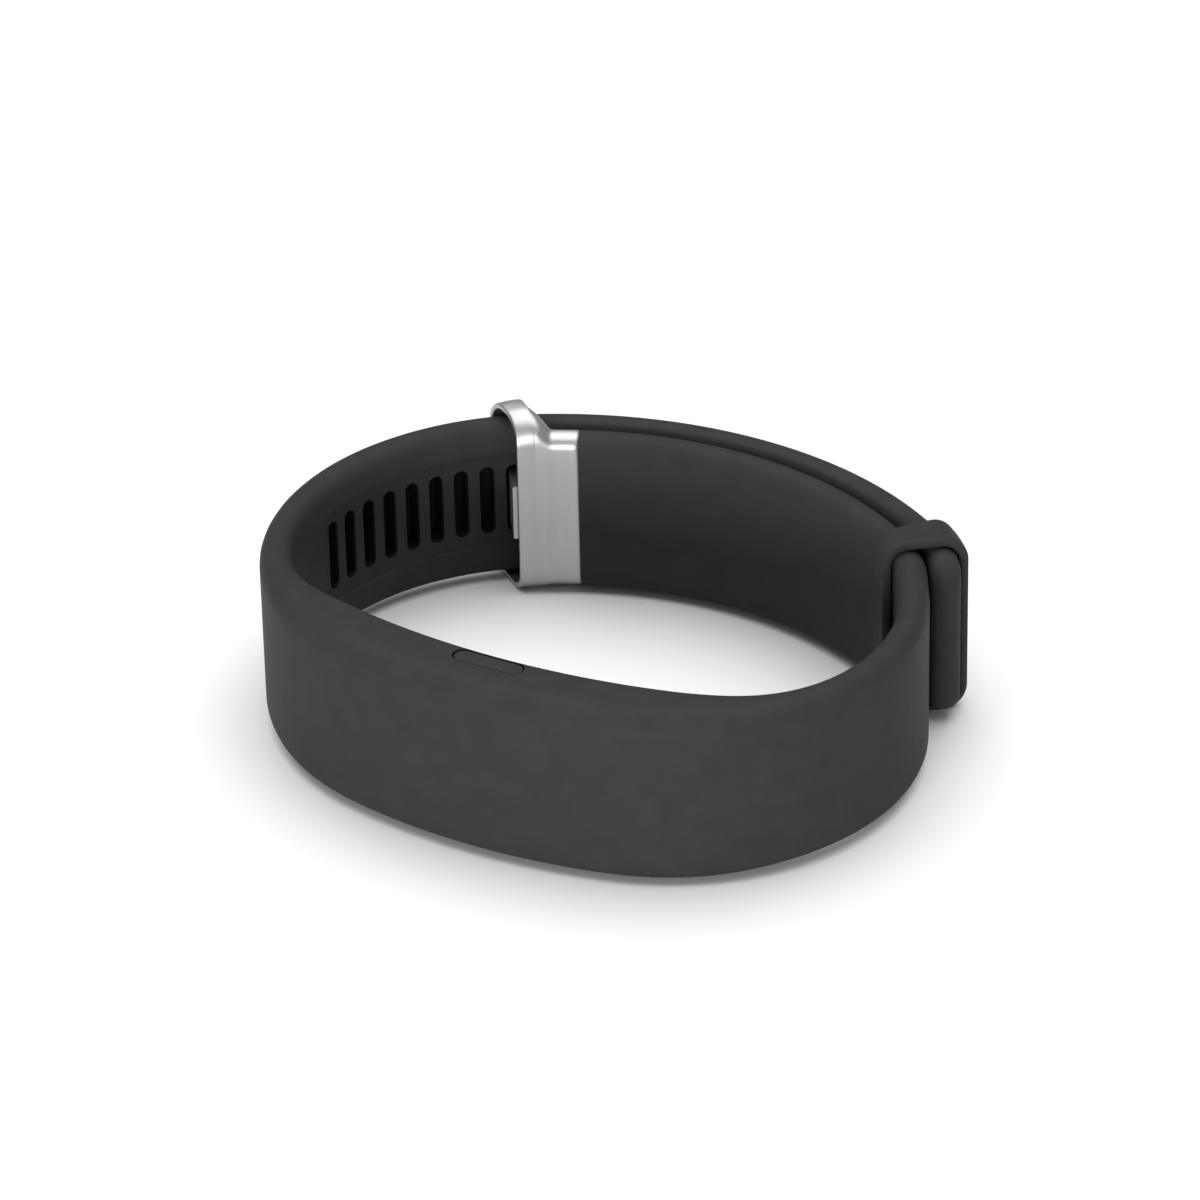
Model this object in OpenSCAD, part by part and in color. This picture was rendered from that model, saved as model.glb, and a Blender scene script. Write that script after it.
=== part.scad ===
// Fitness tracker band: a closed wrist loop standing on its edge, with a removable sensor core.
// Plan view: the core sits at -Y, the clasp at the back left, the keeper loop at the back right.

/* [Loop outline] */
// Radius of the outer wall in front of the core
front_r = 67; // [60:1:74]
// Angle of the front wall to the left of its middle
front_left_deg = 12.75; // [11:0.25:14]
// Angle of the front wall to the right of its middle
front_right_deg = 13.2; // [12:0.2:14]
// Radius of the outer wall round the left side
side_r = 29.3; // [28.5:0.1:30]
// Angle that the left side turns through
side_deg = 136.8; // [135:0.2:138]
// Radius of the outer wall across the back
back_r = 46.2; // [45:0.2:47]
// Angle that the back turns through
back_deg = 67; // [66:0.5:68]
// Radius of the outer wall of the strap's free tail
tail_r = 20.5; // [19:0.5:22]
// Angle of the tail as far as its round tip
tail_deg = 24.3; // [24:0.1:25]

/* [Strap] */
// Thickness of one strap layer
strap_t = 3.3; // [3:0.1:3.5]
// Width of the strap
strap_w = 18.8; // [18.4:0.1:19]
// Air between the two strap layers
layer_gap = 0.3; // [0.3:0.05:0.5]
// Width of one adjustment slot
slot_w = 1.37; // [1.2:0.01:1.5]
// Height of one adjustment slot
slot_h = 8; // [7:0.5:8.5]
// How deep a slot goes into the strap
slot_depth = 2.3; // [2:0.1:2.5]
// Number of adjustment slots
slot_count = 15; // [12:1:16]
// Width of the shallow channel that the slots stand in
channel_w = 11.3; // [10.5:0.1:12]
// Depth of that channel
channel_depth = 0.45; // [0.3:0.05:0.6]

/* [Pocket] */
// Width of the thick front section that holds the core
pocket_w = 19.6; // [19.2:0.1:20]
// Thickness of the front section in its middle
pocket_t = 7.7; // [7.5:0.1:8]
// Radius of its inner wall, against the wrist
inner_front_r = 82; // [78:1:86]
// Radius of the inner wall where it thins down to the strap
inner_side_r = 17; // [16:0.5:18]
// Rounding of its outer edges
edge_r = 2.2; // [1.5:0.1:2.4]
// Silicone wall in front of the core
front_wall = 1.2; // [1:0.1:1.3]

/* [Core] */
// Length of the core
core_l = 40.7; // [40:0.1:41]
// Width of the core
core_w = 15.3; // [15:0.1:15.6]
// Corner radius of the core
core_corner = 4; // [3:0.5:5]
// Gap between the core and the pocket
core_gap = 0.1; // [0.05:0.01:0.15]
// Wall of the core's front shell
shell_wall = 0.9; // [0.8:0.05:1]
// Thickness of the back cover
cover_t = 1.1; // [1:0.05:1.15]
// Height of the sensor bump over the back cover
bump_h = 1.2; // [1:0.1:1.4]

/* [Clasp and keeper] */
// Thickness of the clasp's sheet metal
sheet_t = 0.6; // [0.5:0.05:0.65]
// Angle of the left side that the clasp ring covers
ring_deg = 5.4; // [5:0.1:5.8]
// Angle of the back that the clasp plate covers
plate_deg = 6.6; // [6:0.1:7]
// Height of the clasp ring above the strap's edge
ring_rise = 2.2; // [2:0.1:2.4]
// Angle by which the far side of the clasp ring leans along the strap
ring_lean = 4.3; // [3:0.1:5]
// Wall of the keeper loop
keeper_wall = 1; // [0.9:0.05:1.1]
// Angle of the tail that the keeper covers
keeper_deg = 14; // [13:0.5:15]

/* [Hidden] */
$fn = 96;

rubber = [0.2, 0.2, 0.21];
shell_black = [0.12, 0.12, 0.13];
steel = [0.72, 0.72, 0.72];
board_green = [0.1, 0.32, 0.2];
chip_black = [0.08, 0.08, 0.09];

// Heights above the floor. The clasp ring and the keeper touch it; the strap clears it.
clear = 0.2;
strap_z = sheet_t + clear;
mid_z = strap_z + strap_w / 2;
strap_top = strap_z + strap_w;
pocket_z = mid_z - pocket_w / 2;
second = strap_t + layer_gap;
both = second + strap_t;

// The outer wall is a chain of tangent arcs, travelled clockwise from the middle of the front.
// An arc is [centre, radius, heading at its start, heading at its end].
function right_of(h) = [sin(h), -cos(h)];
function along(h) = [cos(h), sin(h)];
function arc_end(a) = a[0] - a[1] * right_of(a[3]);
function arc_from(p, h, r, turn) = [p + r * right_of(h), r, h, h - turn];
front_left = arc_from([0, 0], 180, front_r, front_left_deg);
side = arc_from(arc_end(front_left), front_left[3], side_r, side_deg);
back = arc_from(arc_end(side), side[3], back_r, back_deg);
tail = arc_from(arc_end(back), back[3], tail_r, tail_deg);

// The short strap runs under the tail, then straight, then round the right side to the front.
front_right = [front_left[0], front_r, -180 + front_right_deg, -180];
leave_h = tail[3];
leave_p = tail[0] - (tail_r - second) * right_of(leave_h);
join_h = front_right[2];
join_p = front_right[0] - front_r * right_of(join_h);
function cross2(a, b) = a.x * b.y - a.y * b.x;
reach_in = cross2(join_p - leave_p, along(join_h)) / cross2(along(leave_h), along(join_h));
reach_out = cross2(along(leave_h), join_p - leave_p) / cross2(along(leave_h), along(join_h));
run = reach_in - reach_out;
right_r = reach_out / tan((leave_h - join_h) / 2);
right = arc_from(leave_p + run * along(leave_h), leave_h, right_r, leave_h - join_h);

// The inner wall of the front section: one flat arc and a tighter one at each end.
inner_c = [0, pocket_t + inner_front_r];
// Where two circles meet, on the left (s = 1) or right (s = -1) of the line between centres.
function meet(a, ra, b, rb, s) = let(
        d = norm(b - a),
        x = (d * d + ra * ra - rb * rb) / (2 * d),
        y = s * sqrt(ra * ra - x * x),
        u = (b - a) / d)
    a + x * u + y * [-u.y, u.x];
reach_front = inner_front_r - inner_side_r;
left_c = meet(side[0], side_r - strap_t - inner_side_r, inner_c, reach_front, 1);
right_c = meet(right[0], right_r - strap_t - inner_side_r, inner_c, reach_front, -1);
function polar(v) = atan2(v.y, v.x);
left_join = polar(left_c - side[0]) + 360;
right_join = polar(right_c - right[0]);
left_turn = polar(left_c - inner_c) + 360;
right_turn = polar(right_c - inner_c);

// The origin lies under the middle of the loop's bounding box.
middle = [(side[0].x - side_r + right[0].x + right_r) / 2, (back[0].y + back_r) / 2];
module placed() translate([-middle.x, -middle.y, 0]) children();

// Sweeps a profile (x outward from the outer wall, y up) along an arc between two headings.
module sweep(a, h0, h1)
    translate(a[0]) rotate([0, 0, h1 + 90])
        rotate_extrude(angle = h0 - h1) translate([a[1], 0]) children();
// Puts children on the outer wall at a heading: +X outward, +Z up.
module on_wall(a, h)
    translate(a[0]) rotate([0, 0, h + 90]) translate([a[1], 0, 0]) children();
// Puts children behind the front wall, turned round it by an angle: +X along it, +Y inward.
module in_core(deg, depth)
    translate([0, front_r, mid_z]) rotate([0, 0, deg]) translate([0, depth - front_r, 0])
        children();

module rounded(w, h, r) {
    square([w - 2 * r, h], center = true);
    square([w, h - 2 * r], center = true);
    for (x = [-1, 1], z = [-1, 1]) translate([x * (w / 2 - r), z * (h / 2 - r)]) circle(r);
}
module pill(l, t) {
    square([l - t, t], center = true);
    for (s = [-1, 1]) translate([s * (l - t) / 2, 0]) circle(t / 2);
}
// A plate seen along Y: w wide, h high, rounded corners, from y0 to y0 + t.
module slab(w, h, r, y0, t)
    translate([0, y0 + t, 0]) rotate([90, 0, 0]) linear_extrude(t) rounded(w, h, r);
// A box centred on X and Z that grows inward along +Y.
module block(x, y, z) translate([-x / 2, 0, -z / 2]) cube([x, y, z]);

/* ---- silicone band ---- */
// Where two arcs of the band meet, one is thinner by a hair and runs on into the other, so
// that they make one solid.
hair = 0.02;
lap = 0.4;
module strap_section(depth, inset = 0) {
    r = strap_t / 2 - inset;
    x = -depth - strap_t / 2;
    low = strap_z + strap_t / 2;
    high = strap_top - strap_t / 2;
    translate([x - r, low]) square([2 * r, high - low]);
    for (z = [low, high]) translate([x, z]) circle(r);
}

// Slots stand at one spacing along the strap's inner face, which bends less across the back.
slot_deg = 6.37;
first_slot_h = 86.9;
channel_lead = 5;
side_slots = floor((first_slot_h - side[3]) / slot_deg) + 1;
back_slot_deg = slot_deg * (side_r - strap_t) / (back_r - strap_t);
left_over = 1 - (first_slot_h - (side_slots - 1) * slot_deg - side[3]) / slot_deg;
function back_slot_h(n) = back[2] - (n + left_over) * back_slot_deg;
back_slots = slot_count - side_slots;

module blind_slot()
    translate([-strap_t - 1, 0, mid_z]) rotate([90, 0, 90]) linear_extrude(slot_depth + 1)
        rotate(90) pill(slot_h, slot_w);
module channel_section(grow = 0)
    translate([-strap_t - 1, mid_z - channel_w / 2 - grow])
        square([channel_depth + 1 + grow, channel_w + 2 * grow]);

module long_strap() color(rubber) placed() {
    difference() {
        sweep(side, left_join - 90, side[3]) strap_section(0);
        sweep(side, first_slot_h + channel_lead, side[3] - 1) channel_section();
        for (n = [0 : side_slots - 1]) on_wall(side, first_slot_h - n * slot_deg) blind_slot();
    }
    difference() {
        sweep(back, back[2] + lap, back[3] - lap) strap_section(0, hair);
        sweep(back, back[2] + 1, back_slot_h(back_slots)) channel_section(hair);
        for (n = [0 : back_slots - 1]) on_wall(back, back_slot_h(n)) blind_slot();
    }
    sweep(tail, tail[2], tail[3]) strap_section(0);
}

// The clasp's plate is let into the short strap's end, flush with its skin.
plate_in = both - sheet_t;
plate_fit = 0.05;
plate_end = back[2] - plate_deg;
pin_h = back[2] - 3.6;
pin_z = [mid_z - 6, mid_z + 6];
pin_r = 0.5;
pin_in = 1.6;
module short_strap() color(rubber) placed() difference() {
    union() {
        sweep(back, back[2] - 0.3, plate_end - lap) strap_section(second, sheet_t + plate_fit);
        sweep(back, plate_end - plate_fit, back[3]) strap_section(second);
        sweep(tail, tail[2] + lap, tail[3] - lap) strap_section(second, hair);
        translate(leave_p) rotate([0, 0, leave_h + 90]) rotate([90, 0, 0])
            linear_extrude(run) strap_section(0);
        sweep(right, right[2] + lap, right_join - 90) strap_section(0, hair);
    }
    for (z = pin_z) on_wall(back, pin_h) translate([-both, 0, z])
        rotate([0, 90, 0]) cylinder(r = pin_r, h = sheet_t + pin_in + 0.1);
}

module pocket_section(inset = 0) {
    depth = 13;
    r = edge_r - inset;
    translate([-depth, pocket_z + inset]) square([depth - edge_r, pocket_w - 2 * inset]);
    translate([-depth, pocket_z + edge_r]) square([depth - inset, pocket_w - 2 * edge_r]);
    for (z = [edge_r, pocket_w - edge_r]) translate([-edge_r, pocket_z + z]) circle(r);
}
// The space inside the front section's inner wall, with the wall moved outward by grow.
function turn_x(a, grow) = inner_c.x + (inner_front_r + grow) * cos(a);
module wrist_space(grow) {
    h = pocket_w + 4;
    for (c = [left_c, right_c]) translate([c.x, c.y, -1])
        cylinder(r = inner_side_r + grow, h = h);
    intersection() {
        translate([inner_c.x, inner_c.y, -1]) cylinder(r = inner_front_r + grow, h = h);
        translate([turn_x(left_turn, grow), 0, -1])
            cube([turn_x(right_turn, grow) - turn_x(left_turn, grow), 20, h]);
    }
}
// The room for the core: a slab along Y, closed in front by the band's curved wall.
module core_room(g, wall) intersection() {
    translate([0, 0, mid_z]) slab(core_l + 2 * g, core_w + 2 * g, core_corner + g, 0, 20);
    translate([0, front_r, mid_z - core_w]) cylinder(r = front_r - wall, h = 2 * core_w);
}

key_l = 7.9;
key_t = 2.1;
key_depth = 5.65;
key_travel = 0.3;
core_top = mid_z + core_w / 2;
pocket_top = pocket_z + pocket_w;
foot_top = core_top + key_travel + 0.05;
foot_l = 5.6;
foot_w = 1;

module band_pocket() color(rubber) placed() difference() {
    union() {
        sweep(right, right_join - 90, right[3]) pocket_section();
        sweep(front_left, 180 + front_right_deg + lap, front_left[3] - lap)
            pocket_section(hair);
        sweep(side, side[2], left_join - 90) pocket_section();
    }
    wrist_space(0);
    core_room(core_gap, front_wall);
    translate([0, key_depth, core_top]) linear_extrude(pocket_w)
        pill(key_l + 0.2, key_t + 0.2);
}
// The pill in the band's upper edge, with the foot that pushes the key under it.
module key_pad() color(rubber) placed() translate([0, key_depth, 0]) {
    translate([0, 0, foot_top]) linear_extrude(pocket_top - foot_top - 0.05) pill(key_l, key_t);
    translate([0, 0, core_top + 0.05]) linear_extrude(key_travel) pill(foot_l, foot_w);
}

/* ---- clasp and keeper ---- */
module ring_section() {
    w = plate_in + 2 * sheet_t + clear;
    h = strap_top + ring_rise;
    corner = 2.8;
    translate([sheet_t + clear - w / 2, h / 2]) difference() {
        rounded(w, h, corner);
        rounded(w - 2 * sheet_t, h - 2 * sheet_t, corner - sheet_t);
    }
}
// The plate wraps the short strap's end and curls over both of its edges.
module plate_flat(inset) {
    low = strap_z + strap_t / 2;
    translate([-plate_in - sheet_t + inset, low])
        square([sheet_t - 2 * inset, strap_w - strap_t]);
}
module plate_section() {
    r = strap_t / 2;
    x = r - both;
    low = strap_z + r;
    high = strap_top - r;
    plate_flat(hair);
    for (end = [[low, -1], [high, 1]]) translate([x, end[0]]) intersection() {
        difference() {
            circle(r - hair);
            circle(r - sheet_t + hair);
        }
        translate([-4, end[1] > 0 ? 0 : -4]) square([4.4, 4]);
    }
}
// The ring's outline in plan: it leans along the strap as it reaches out over both layers.
function wall_xy(a, h, x) = a[0] + (a[1] + x) * [cos(h + 90), sin(h + 90)];
function lean_at(x) = ring_lean * (x + plate_in) / (plate_in + clear + sheet_t);
plan_in = -both - 2;
plan_out = 3;
ring_plan = [for (e = [[plan_in, 0], [plan_in, ring_deg], [plan_out, ring_deg], [plan_out, 0]])
    wall_xy(side, side[3] + e[1] + lean_at(e[0]), e[0])];
module clasp_ring() color(steel) placed() {
    intersection() {
        sweep(side, side[3] + ring_deg + ring_lean + 1, side[3]) ring_section();
        linear_extrude(30) polygon(ring_plan);
    }
    sweep(back, back[2] + lap, back[2] - 2 * lap) plate_flat(2 * hair);
    sweep(back, back[2] - lap, plate_end) plate_section();
}
tooth_slot = 8;
tooth_t = 0.9;
tooth_h = 6.4;
module clasp_tooth() color(steel) placed() on_wall(side, first_slot_h - tooth_slot * slot_deg)
    translate([-plate_in, -tooth_t / 2, mid_z - tooth_h / 2])
        cube([plate_in - strap_t + slot_depth - 0.3, tooth_t, tooth_h]);
module clasp_pins() color(steel) placed() for (z = pin_z) on_wall(back, pin_h)
    translate([-plate_in, 0, z]) rotate([0, 90, 0]) cylinder(r = pin_r, h = pin_in + 0.1);

module keeper_section() {
    x0 = -both - clear;
    x1 = clear;
    top = strap_top + clear;
    translate([(x0 + x1) / 2, (top + keeper_wall) / 2]) difference() {
        rounded(x1 - x0 + 2 * keeper_wall, top + keeper_wall, 2.6);
        translate([0, (sheet_t - keeper_wall) / 2])
            rounded(x1 - x0, top - sheet_t, 1.8);
    }
}
module keeper_loop() color(rubber) placed()
    sweep(tail, tail[2] - 0.6, tail[2] - 0.6 - keeper_deg) keeper_section();

/* ---- core: housing ---- */
gasket_t = 0.3;
seam = cover_t + gasket_t;
window_l = 9;
window_w = 7;
window_t = 0.8;
bump_l = 14;
bump_w = 11.5;
bump_corner = 3;
bump_sink = 0.6;
face_y = pocket_t + bump_h;
usb_w = 7.5;
usb_t = 2.4;
usb_l = 4;
usb_x = 6.4;
usb_skin = 0.3;
board_deg = 9;
board_y = 2.7;
board_t = 0.6;
parts_y = board_y + board_t;
cell_deg = -9.3;
cell_l = 12.6;
cell_t = 3;
cell_w = 11.8;

// The key under the pad: a stem through the shell, with a flange inside it.
stem_l = 6;
stem_w = 1.2;
flange_l = 6.6;
flange_w = 1.6;
module power_key() color(shell_black) placed() translate([0, key_depth, core_top]) {
    translate([0, 0, -1.5]) linear_extrude(1.5) pill(stem_l, stem_w);
    translate([0, 0, -1.9]) linear_extrude(0.4) pill(flange_l, flange_w);
}
module key_seal() color(rubber) placed() translate([0, key_depth, core_top - 1.45])
    linear_extrude(0.4) difference() {
        pill(flange_l, flange_w);
        pill(stem_l + 0.1, stem_w + 0.1);
    }
// The port's outline, with play g round it, running on by reach past the port's mouth.
module usb_shape(g, reach = 0) in_core(board_deg, parts_y - g)
    translate([usb_x, 0, -usb_w / 2 - g])
        cube([usb_l + reach, usb_t + 2 * g, usb_w + 2 * g]);

module core_front_shell() color(shell_black) placed() difference() {
    core_room(0, front_wall + core_gap);
    wrist_space(seam);
    intersection() {
        translate([0, 0, mid_z])
            slab(core_l - 2 * shell_wall, core_w - 2, core_corner - 1, 0, 20);
        translate([0, front_r, mid_z - core_w])
            cylinder(r = front_r - front_wall - core_gap - shell_wall, h = 2 * core_w);
    }
    translate([0, key_depth, mid_z]) linear_extrude(core_w)
        pill(stem_l + 0.16, stem_w + 0.16);
    usb_shape(0.05, 1);
}
module core_back_cover() color(shell_black) placed() difference() {
    union() {
        difference() {
            intersection() {
                core_room(0, front_wall);
                wrist_space(cover_t);
            }
            wrist_space(0);
        }
        translate([0, 0, mid_z])
            slab(bump_l, bump_w, bump_corner, pocket_t - bump_sink, bump_h + bump_sink);
    }
    translate([0, 0, mid_z]) slab(window_l + 0.1, window_w + 0.1, 1.5, 4, 8);
}
module cover_gasket() color([0.3, 0.3, 0.32]) placed() difference() {
    intersection() {
        translate([0, 0, mid_z]) slab(core_l - 0.6, core_w - 0.6, core_corner - 0.3, 0, 20);
        wrist_space(seam);
    }
    wrist_space(cover_t);
    translate([0, 0, mid_z]) slab(core_l - 2 * shell_wall, core_w - 2, core_corner - 1, 0, 20);
}

/* ---- core: optical sensor ---- */
module sensor_window() color([0.1, 0.12, 0.12]) placed() translate([0, 0, mid_z])
    slab(window_l, window_w, 1.45, face_y - window_t, window_t);
module sensor_board() color(board_green) placed() translate([0, 5.8, mid_z - 0.4])
    block(11, 0.5, 9.2);
led_x = 2.9;
module sensor_leds() color([0.4, 0.8, 0.4]) placed() for (x = [-led_x, led_x])
    translate([x, 6.3, mid_z]) block(1.6, 0.7, 1.6);
module photodiode() color([0.25, 0.25, 0.35]) placed() translate([0, 6.3, mid_z])
    block(2.4, 0.7, 2.4);
module light_baffle() color(chip_black) placed() translate([0, 0, mid_z]) difference() {
    slab(window_l - 0.1, window_w - 0.1, 1.4, 6.3, face_y - window_t - 6.3);
    translate([0, 6, 0]) block(2.8, 4, 4);
    for (x = [-led_x, led_x]) translate([x, 6, 0]) block(1.9, 4, 4);
}
module sensor_flex() color([0.7, 0.45, 0.15]) placed() translate([2.5, 3, mid_z - 1])
    block(0.25, 2.8, 5);

/* ---- core: main board and what it carries ---- */
module tact_switch() color(chip_black) placed() translate([0, 4.9, core_top - 3.45])
    translate([-1.7, 0, 0]) cube([3.4, 1.5, 1.15]);
module main_board() color(board_green) placed() in_core(board_deg, board_y)
    block(16, board_t, 12.6);
module processor_chip() color(chip_black) placed() in_core(board_deg, parts_y)
    translate([-4, 0, 0]) block(4.4, 0.8, 6);
module shield_can() color(steel) placed() in_core(board_deg, parts_y)
    translate([-4, 0, 0]) difference() {
        block(5.6, 1.3, 7.6);
        translate([0, -1, 0]) block(5.2, 2.1, 7.2);
    }
module motion_sensor() color(chip_black) placed() in_core(board_deg, parts_y)
    translate([-4, 0, 5.1]) block(2, 0.8, 2);
module bluetooth_antenna() color([0.8, 0.8, 0.75]) placed() in_core(board_deg, parts_y)
    translate([-2, 0, -5.3]) block(5, 0.9, 1.6);
module status_leds() color([0.9, 0.9, 0.9]) placed() in_core(board_deg, parts_y)
    for (n = [0 : 2]) translate([2 * n, 0, 5.3]) block(1, 0.6, 0.8);
module vibration_motor() color([0.6, 0.6, 0.62]) placed() in_core(board_deg, parts_y)
    translate([2.6, 2.3, 0]) rotate([90, 0, 0]) cylinder(r = 3.3, h = 2.3);
module usb_receptacle() color(steel) placed() difference() {
    usb_shape(0);
    in_core(board_deg, parts_y) translate([usb_x + 2, usb_skin, usb_skin - usb_w / 2])
        cube([usb_l, usb_t - 2 * usb_skin, usb_w - 2 * usb_skin]);
}
module battery() color([0.75, 0.76, 0.78]) placed() in_core(cell_deg, 2.65)
    block(cell_l, cell_t, cell_w);
module nfc_antenna() color([0.75, 0.5, 0.2]) placed() in_core(cell_deg, 2.45) difference() {
    block(10, 0.15, 10.4);
    translate([0, -1, 0]) block(7.2, 3, 7.6);
}

band_pocket();
long_strap();
short_strap();
keeper_loop();
clasp_ring();
clasp_tooth();
clasp_pins();
key_pad();
power_key();
key_seal();
tact_switch();
core_front_shell();
core_back_cover();
cover_gasket();
sensor_window();
sensor_leds();
photodiode();
light_baffle();
sensor_board();
sensor_flex();
main_board();
processor_chip();
motion_sensor();
shield_can();
battery();
vibration_motor();
usb_receptacle();
nfc_antenna();
bluetooth_antenna();
status_leds();
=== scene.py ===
"""Looks of the fitness tracker band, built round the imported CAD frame.

Lengths are in millimetres until a mesh is made, where MM turns them into metres.
"""

import math

import bmesh
import bpy
import numpy as np
from mathutils import Matrix, Vector


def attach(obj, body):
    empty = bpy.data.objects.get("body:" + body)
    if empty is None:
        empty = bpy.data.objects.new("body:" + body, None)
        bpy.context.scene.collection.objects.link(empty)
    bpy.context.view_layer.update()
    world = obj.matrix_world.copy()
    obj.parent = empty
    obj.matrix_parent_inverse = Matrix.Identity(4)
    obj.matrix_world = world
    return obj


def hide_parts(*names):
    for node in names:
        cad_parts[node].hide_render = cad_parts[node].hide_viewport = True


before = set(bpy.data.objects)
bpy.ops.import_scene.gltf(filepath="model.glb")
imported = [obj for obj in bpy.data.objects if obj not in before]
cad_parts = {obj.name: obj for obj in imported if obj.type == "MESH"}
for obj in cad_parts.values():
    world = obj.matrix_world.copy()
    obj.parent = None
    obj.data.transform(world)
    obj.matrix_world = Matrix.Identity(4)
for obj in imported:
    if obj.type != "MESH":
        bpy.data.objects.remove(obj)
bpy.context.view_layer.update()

MM = 0.001
FAR = 99.0    # stands for no edge within reach


# ---- driving dimensions, as in the CAD model ----
FRONT_R, FRONT_LEFT, FRONT_RIGHT = 67.0, 12.75, 13.2
SIDE_R, SIDE_DEG = 29.3, 136.8
BACK_R, BACK_DEG = 46.2, 67.0
TAIL_R, TAIL_DEG = 20.5, 24.3
STRAP_T, STRAP_W, LAYER_GAP = 3.3, 18.8, 0.3
SLOT_W, SLOT_H, SLOT_DEPTH, SLOT_COUNT = 1.37, 8.0, 2.3, 15
SLOT_DEG, FIRST_SLOT_H, CHANNEL_LEAD = 6.37, 86.9, 5.0
CHANNEL_W, CHANNEL_DEPTH = 11.3, 0.45
POCKET_W, POCKET_T, FRONT_WALL = 19.6, 7.7, 1.2
INNER_FRONT_R, INNER_SIDE_R = 82.0, 17.0
CORE_L, CORE_W, CORE_CORNER, CORE_GAP = 40.7, 15.3, 4.0, 0.1
SHEET_T, RING_DEG, PLATE_DEG, RING_RISE, RING_LEAN = 0.6, 5.4, 6.6, 2.2, 4.3
KEEPER_WALL, KEEPER_DEG, KEEPER_START = 1.0, 14.0, 0.6
KEY_L, KEY_T, KEY_DEPTH = 7.9, 2.1, 5.65
CLEAR = 0.2

STRAP_Z = SHEET_T + CLEAR
MID_Z = STRAP_Z + STRAP_W / 2
POCKET_Z = CLEAR * 2
POCKET_TOP = POCKET_Z + POCKET_W
STRAP_TOP = STRAP_Z + STRAP_W
SECOND = STRAP_T + LAYER_GAP
BOTH = SECOND + STRAP_T
PLATE_IN = BOTH - SHEET_T


# ---- the loop's outline: tangent arcs, travelled clockwise from the middle of the front ----
def along(h):
    a = math.radians(h)
    return np.array([math.cos(a), math.sin(a)])


def outward(h):
    a = math.radians(h)
    return np.array([-math.sin(a), math.cos(a)])


class Arc:
    """An arc of the outer wall, from one heading to another."""

    def __init__(self, start, heading, radius, turn):
        self.centre = start - radius * outward(heading)
        self.radius, self.h0, self.h1 = radius, heading, heading - turn

    def point(self, h, depth=0.0):
        return self.centre + (self.radius - depth) * outward(h)

    def end(self):
        return self.point(self.h1)


front = Arc(np.zeros(2), 180.0, FRONT_R, FRONT_LEFT)
side = Arc(front.end(), front.h1, SIDE_R, SIDE_DEG)
back = Arc(side.end(), side.h1, BACK_R, BACK_DEG)
tail = Arc(back.end(), back.h1, TAIL_R, TAIL_DEG)

join_h = FRONT_RIGHT - 180.0
join_p = front.centre + FRONT_R * outward(join_h)
leave_p = tail.point(tail.h1, SECOND)


def cross2(a, b):
    return a[0] * b[1] - a[1] * b[0]


bend = cross2(along(tail.h1), along(join_h))
reach_in = cross2(join_p - leave_p, along(join_h)) / bend
reach_out = cross2(along(tail.h1), join_p - leave_p) / bend
run = reach_in - reach_out
right_turn_deg = tail.h1 - join_h
right_r = reach_out / math.tan(math.radians(right_turn_deg / 2))
right = Arc(leave_p + run * along(tail.h1), tail.h1, right_r, right_turn_deg)
middle = np.array([side.centre[0] - SIDE_R + right.centre[0] + right_r,
                   back.centre[1] + BACK_R]) / 2

# The inner wall of the front section.
inner_c = np.array([0.0, POCKET_T + INNER_FRONT_R])


def meet(a, ra, b, rb, s):
    """Where two circles meet, to the left (s = 1) or right (s = -1) of the line between them."""
    d = np.linalg.norm(b - a)
    x = (d * d + ra * ra - rb * rb) / (2 * d)
    u = (b - a) / d
    return a + x * u + s * math.sqrt(ra * ra - x * x) * np.array([-u[1], u[0]])


reach_front = INNER_FRONT_R - INNER_SIDE_R
left_c = meet(side.centre, SIDE_R - STRAP_T - INNER_SIDE_R, inner_c, reach_front, 1)
right_c = meet(right.centre, right_r - STRAP_T - INNER_SIDE_R, inner_c, reach_front, -1)


def turn_x(c):
    """The x at which the flat inner arc hands over to the tight one centred at c."""
    return (inner_c + INNER_FRONT_R * (c - inner_c) / np.linalg.norm(c - inner_c))[0]


def enter(p, n, c, r):
    """How far inward from p, against n, a circle's edge is first met."""
    v = p - c
    b = float(v @ n)
    gap = b * b - float(v @ v) + r * r
    return b - math.sqrt(gap) if gap > 0 else FAR


def join_heading(arc, c):
    """Heading at which a tight inner arc centred at c leaves the strap's inner wall."""
    v = c - arc.centre
    return math.degrees(math.atan2(v[1], v[0])) - 90


LEFT_JOIN_H = join_heading(side, left_c) + 360
RIGHT_JOIN_H = join_heading(right, right_c)


def thickness(p, n):
    """Thickness of the front section behind a point of its outer wall."""
    flat = enter(p, n, inner_c, INNER_FRONT_R)
    hit = (p - flat * n)[0]
    ways = [enter(p, n, left_c, INNER_SIDE_R), enter(p, n, right_c, INNER_SIDE_R)]
    if turn_x(left_c) <= hit <= turn_x(right_c):
        ways.append(flat)
    return max(STRAP_T, min(ways))


# ---- mesh helpers ----
def to_world(xy, z):
    return ((xy[0] - middle[0]) * MM, (xy[1] - middle[1]) * MM, z * MM)


def mesh_object(name, verts, faces, material, sharp=32.0):
    mesh = bpy.data.meshes.new(name)
    mesh.from_pydata([tuple(v) for v in verts], [], [tuple(f) for f in faces])
    obj = bpy.data.objects.new(name, mesh)
    bpy.context.scene.collection.objects.link(obj)
    finish_mesh(obj, sharp)
    if material:
        mesh.materials.append(material)
    return obj


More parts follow.
